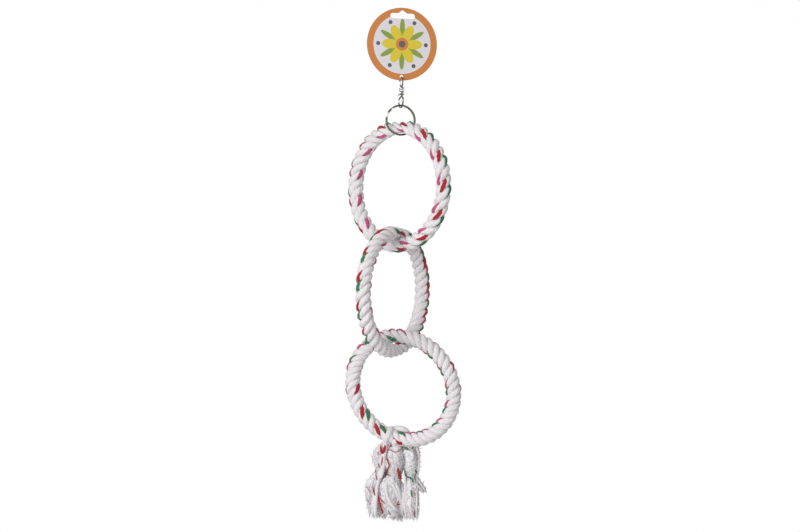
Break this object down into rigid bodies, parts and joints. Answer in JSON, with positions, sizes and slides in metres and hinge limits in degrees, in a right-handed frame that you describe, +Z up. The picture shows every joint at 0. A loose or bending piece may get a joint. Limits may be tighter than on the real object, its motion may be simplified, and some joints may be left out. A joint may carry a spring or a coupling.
{
  "type": "hanging rope ring bird toy",
  "caption": "Hanging bird toy: a chain of linked cotton rope rings with a frayed tassel below, carried by a split ring and a wire clip on a round card hang tag.",
  "frame": {"origin": "top of the hump of the hanging slot, where a peg carries the tag", "axes": "+Z up, -Y towards the viewer, +X to the viewer's right"},
  "size_m": [0.1465, 0.1458, 0.6425],
  "materials": {
    "printed_card": "satin",
    "nickel_wire": "polished",
    "nickel_ring": "polished",
    "upper_rope": "matte",
    "middle_rope": "matte",
    "lower_rope": "matte",
    "frayed_cotton": "matte"
  },
  "bodies": {
    "hang_tag": {"hang_tag": "printed_card"},
    "wire_clip": {"wire_clip": "nickel_wire"},
    "split_ring": {"split_ring": "nickel_ring"},
    "upper_ring": {"upper_strand_red": "upper_rope", "upper_strand_pink": "upper_rope", "upper_strand_green": "upper_rope"},
    "middle_ring": {"middle_strand_red": "middle_rope", "middle_strand_pink": "middle_rope", "middle_strand_green": "middle_rope"},
    "lower_ring": {"lower_strand_red": "lower_rope", "lower_strand_pink": "lower_rope", "lower_strand_green": "lower_rope", "tail_left": "frayed_cotton", "tail_centre": "frayed_cotton", "tail_right": "frayed_cotton", "tail_side": "frayed_cotton", "tail_back_left": "frayed_cotton", "tail_back_right": "frayed_cotton"}
  },
  "joints": [
    {"name": "clip_swing", "type": "hinge", "parent": "hang_tag", "child": "wire_clip", "pos_m": [0, 0, -0.0835], "axis": [0.9613, 0.2756, 0], "range_deg": [-30, 30]},
    {"name": "split_ring_swing", "type": "hinge", "parent": "wire_clip", "child": "split_ring", "pos_m": [0, 0, -0.1217], "axis": [0.2756, -0.9613, 0], "range_deg": [-45, 45]},
    {"name": "upper_ring_swing", "type": "hinge", "parent": "split_ring", "child": "upper_ring", "pos_m": [0, 0, -0.15555], "axis": [0.9613, 0.2756, 0], "range_deg": [-40, 40]},
    {"name": "middle_ring_swing", "type": "hinge", "parent": "upper_ring", "child": "middle_ring", "pos_m": [-0.00111, 0.001, -0.29385], "axis": [-0.7431, 0.6691, 0.0136], "range_deg": [-45, 45]},
    {"name": "lower_ring_swing", "type": "hinge", "parent": "middle_ring", "child": "lower_ring", "pos_m": [0.00114, 0.0049, -0.4069], "axis": [0.9902, -0.1392, 0.0091], "range_deg": [-45, 45]}
  ]
}
